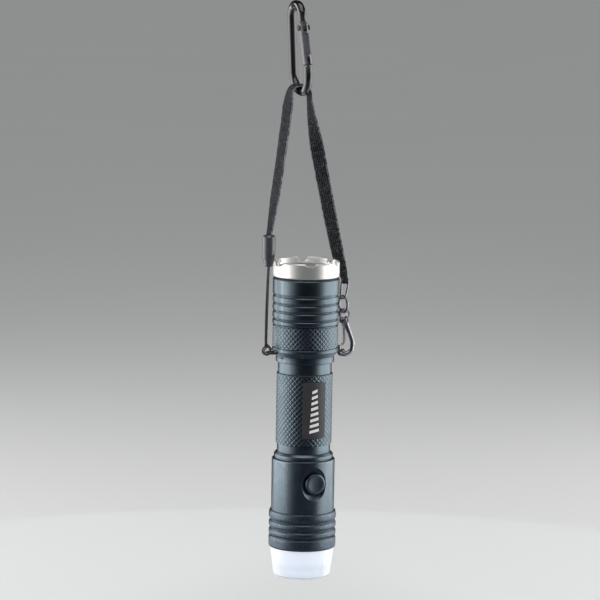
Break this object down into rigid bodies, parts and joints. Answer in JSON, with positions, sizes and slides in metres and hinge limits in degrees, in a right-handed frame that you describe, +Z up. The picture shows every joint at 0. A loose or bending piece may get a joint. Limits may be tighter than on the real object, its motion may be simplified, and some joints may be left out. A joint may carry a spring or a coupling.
{
  "type": "tactical flashlight",
  "caption": "Hanging focusing torch with crown bezel, knurled grip, side button, glowing lantern tail, wrist strap, snap hook and carabiner.",
  "frame": {"origin": "inside top of the carabiner, where the bar that holds the torch up bears", "axes": "+Z up along the torch axis towards the carabiner; -Y is the front, the side the carabiner gate and the button face"},
  "size_m": [0.048, 0.0346, 0.2953],
  "materials": {
    "anodised": "fine bead-blasted slate-blue hard anodising",
    "bezel_steel": "bright turned, faint champagne tint",
    "seal_rubber": "matt black",
    "lens_glass": "clear, polished",
    "nameplate": "black, satin, blank",
    "brass": "turned",
    "board_white": "white solder mask",
    "board_green": "green solder mask",
    "led_yellow": "phosphor under clear silicone",
    "led_white": "lit small white LEDs",
    "spring_steel": "drawn wire",
    "cell_wrap": "shrink sleeve, plain",
    "sleeve_plastic": "translucent natural plastic",
    "button_metal": "satin slate anodising, worn rim",
    "switch_black": "moulded",
    "screw_steel": "zinc plated",
    "wire_red": "insulation",
    "collar_grip": "matt slate, soft-touch ribs",
    "diffuser_white": "frosted, glowing",
    "carabiner_black": "gloss black",
    "gate_grey": "dark grey satin",
    "strap_webbing": "flat woven polyester, ribbed",
    "cord_black": "fine braided cord",
    "ferrule_black": "moulded gloss black",
    "hook_dark": "black nickel",
    "eyelet_black": "black wire"
  },
  "bodies": {
    "carabiner": {"carabiner_frame": "carabiner_black", "carabiner_rivet": "carabiner_black"},
    "carabiner_gate": {"carabiner_gate": "gate_grey", "carabiner_spring": "spring_steel"},
    "head": {"strap": "strap_webbing", "strap_ferrule": "ferrule_black", "lanyard_cord": "cord_black", "cord_knot": "cord_black", "strap_loop": "hook_dark", "jump_ring": "hook_dark", "hook_body": "hook_dark", "hook_rivet": "spring_steel", "eyelet_left": "eyelet_black", "eyelet_right": "eyelet_black", "bezel_ring": "bezel_steel", "bezel_seal": "seal_rubber", "lens": "lens_glass", "lens_gasket": "seal_rubber", "head_shell": "anodised"},
    "hook_gate": {"hook_gate": "hook_dark"},
    "grip": {"grip_tube": "anodised", "label_plate": "nameplate", "zoom_stop_ring": "spring_steel", "zoom_o_ring": "seal_rubber", "led_pill": "brass", "led_board": "board_white", "led_emitter": "led_yellow", "driver_board": "board_green", "pill_spring": "spring_steel", "battery_cell": "cell_wrap", "battery_sleeve": "sleeve_plastic"},
    "tail_seal": {"tail_o_ring": "seal_rubber"},
    "tail": {"tail_barrel": "anodised", "tail_board": "board_green", "tail_spring": "spring_steel", "board_screws": "screw_steel", "switch_board": "board_green", "tact_switch": "switch_black", "button_boot": "seal_rubber", "tail_collar": "collar_grip", "diffuser_seal": "seal_rubber", "lantern_carrier": "board_white", "lantern_wires": "wire_red", "lantern_board": "board_white", "lantern_leds": "led_white", "diffuser": "diffuser_white"},
    "button": {"button_cap": "button_metal", "switch_plunger": "switch_black"}
  },
  "joints": [
    {"name": "carabiner_gate_hinge", "type": "hinge", "parent": "carabiner", "child": "carabiner_gate", "pos_m": [0.00334, -0.00783, -0.00929], "axis": [0.9386, 0.3416, 0.0492], "range_deg": [0, 24], "stiffness_Nm_per_rad": 0.02, "springref_deg": -22.92},
    {"name": "lanyard_swing", "type": "hinge", "parent": "carabiner", "child": "head", "pos_m": [0.00191, 0.0007, -0.04134], "axis": [0.342, -0.9397, 0], "range_deg": [-35, 35]},
    {"name": "hook_gate_hinge", "type": "hinge", "parent": "head", "child": "hook_gate", "pos_m": [0.02606, 0.00701, -0.1595], "axis": [0.342, -0.9397, 0], "range_deg": [0, 10], "stiffness_Nm_per_rad": 0.004, "springref_deg": -17.19},
    {"name": "zoom_slide", "type": "slide", "parent": "head", "child": "grip", "axis": [0, 0, 1], "range_m": [0, 0.0054]},
    {"name": "tail_advance", "type": "slide", "parent": "grip", "child": "tail_seal", "axis": [0, 0, -1], "range_m": [0, 0.0045]},
    {"name": "tail_unscrew", "type": "hinge", "parent": "tail_seal", "child": "tail", "pos_m": [0.0068, 0, -0.2261], "axis": [0, 0, -1], "range_deg": [0, 1080]},
    {"name": "button_press", "type": "slide", "parent": "tail", "child": "button", "axis": [-0.4147, 0.91, 0], "range_m": [0, 0.0008], "stiffness_N_per_m": 1500, "springref_m": -0.0006}
  ],
  "couplings": [
    {"joint": "tail_unscrew", "follows": "tail_advance", "rad_per_m": 4188.8}
  ]
}
